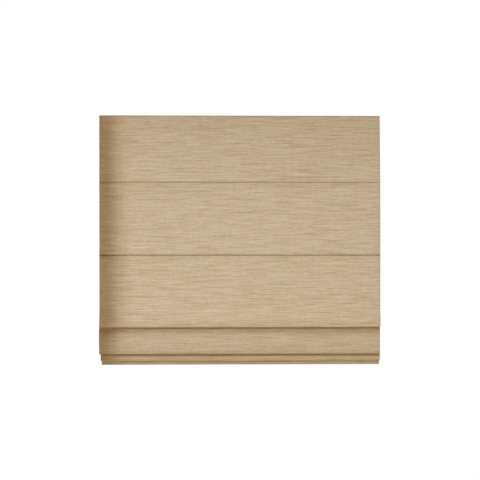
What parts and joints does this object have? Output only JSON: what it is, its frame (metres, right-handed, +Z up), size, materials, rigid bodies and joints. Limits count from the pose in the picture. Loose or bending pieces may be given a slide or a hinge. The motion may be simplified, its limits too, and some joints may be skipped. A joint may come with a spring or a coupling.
{
  "type": "roman blind",
  "caption": "Cordless flat roman blind, part raised: lined slub-weave cloth on stiffening rods, hung from a slim headrail with a spring lift.",
  "frame": {"origin": "top face of the middle bracket, where it meets the lintel, centred along the rail", "axes": "+X along the headrail, -Y into the room, +Z up towards the lintel"},
  "size_m": [1, 0.0673, 0.8885],
  "materials": {
    "aluminium": "satin",
    "white_plastic": "satin",
    "grey_plastic": "satin",
    "zinc_steel": "zinc plated",
    "bright_steel": "bright",
    "cord": "braided",
    "tape": "woven",
    "face_fabric": "slubbed weave",
    "lining": "plain weave",
    "rod": "glass fibre",
    "clear_plastic": "frosted"
  },
  "bodies": {
    "headrail": {"headrail": "aluminium", "endcap_left": "white_plastic", "endcap_right": "white_plastic", "endcap_screws": "bright_steel", "bracket_left": "zinc_steel", "bracket_middle": "zinc_steel", "bracket_right": "zinc_steel", "cradle_left": "white_plastic", "cradle_middle": "white_plastic", "cradle_right": "white_plastic", "motor_case": "grey_plastic", "motor_cover": "grey_plastic", "motor_spring": "bright_steel", "hook_tape": "tape", "loop_tape": "tape", "face_fabric": "face_fabric", "lining": "lining", "lift_cord_left": "cord", "lift_cord_middle": "cord", "lift_cord_right": "cord"},
    "stack": {"rod_pocket_3": "tape", "rod_3": "rod", "rod_tips_3": "white_plastic", "cord_guides_3": "clear_plastic", "rod_pocket_4": "tape", "rod_4": "rod", "rod_tips_4": "white_plastic", "cord_guides_4": "clear_plastic", "rod_pocket_5": "tape", "rod_5": "rod", "rod_tips_5": "white_plastic", "cord_guides_5": "clear_plastic", "bottom_bar": "aluminium", "bottom_bar_caps": "white_plastic", "cord_anchors": "white_plastic"},
    "rod_row_1": {"rod_pocket_1": "tape", "rod_1": "rod", "rod_tips_1": "white_plastic", "cord_guides_1": "clear_plastic"},
    "rod_row_2": {"rod_pocket_2": "tape", "rod_2": "rod", "rod_tips_2": "white_plastic", "cord_guides_2": "clear_plastic"},
    "shaft": {"lift_shaft": "bright_steel", "spool_left": "grey_plastic", "spool_middle": "grey_plastic", "spool_right": "grey_plastic", "torque_drum": "white_plastic", "wound_cord": "cord"},
    "spring_store": {"spring_drum": "white_plastic"},
    "latch_left": {"latch_left": "grey_plastic"},
    "latch_middle": {"latch_middle": "grey_plastic"},
    "latch_right": {"latch_right": "grey_plastic"}
  },
  "joints": [
    {"name": "lift", "type": "slide", "parent": "headrail", "child": "stack", "axis": [0, 0, 1], "range_m": [0, 0.66], "deforming": ["face_fabric", "lining", "lift_cord_left", "lift_cord_middle", "lift_cord_right"]},
    {"name": "row_1_lift", "type": "slide", "parent": "headrail", "child": "rod_row_1", "axis": [0, 0, 1], "range_m": [0, 0.194]},
    {"name": "row_2_lift", "type": "slide", "parent": "headrail", "child": "rod_row_2", "axis": [0, 0, 1], "range_m": [0, 0.439]},
    {"name": "shaft_turn", "type": "hinge", "parent": "headrail", "child": "shaft", "pos_m": [0, -0.006, -0.019], "axis": [-1, 0, 0], "range_deg": [0, 3880]},
    {"name": "spring_turn", "type": "hinge", "parent": "headrail", "child": "spring_store", "pos_m": [-0.19, 0.011, -0.019], "axis": [-1, 0, 0], "range_deg": [0, 5230]},
    {"name": "left_latch_turn", "type": "hinge", "parent": "headrail", "child": "latch_left", "pos_m": [-0.422, 0.01, -0.003], "axis": [0, 0, 1], "range_deg": [-90, 0]},
    {"name": "middle_latch_turn", "type": "hinge", "parent": "headrail", "child": "latch_middle", "pos_m": [0.008, 0.01, -0.003], "axis": [0, 0, 1], "range_deg": [-90, 0]},
    {"name": "right_latch_turn", "type": "hinge", "parent": "headrail", "child": "latch_right", "pos_m": [0.438, 0.01, -0.003], "axis": [0, 0, 1], "range_deg": [-90, 0]}
  ],
  "couplings": [
    {"joint": "row_1_lift", "follows": "lift", "ratio": 0.29185},
    {"joint": "row_2_lift", "follows": "lift", "ratio": 0.66381},
    {"joint": "shaft_turn", "follows": "lift", "rad_per_m": 102.04},
    {"joint": "spring_turn", "follows": "lift", "rad_per_m": 137.65}
  ]
}
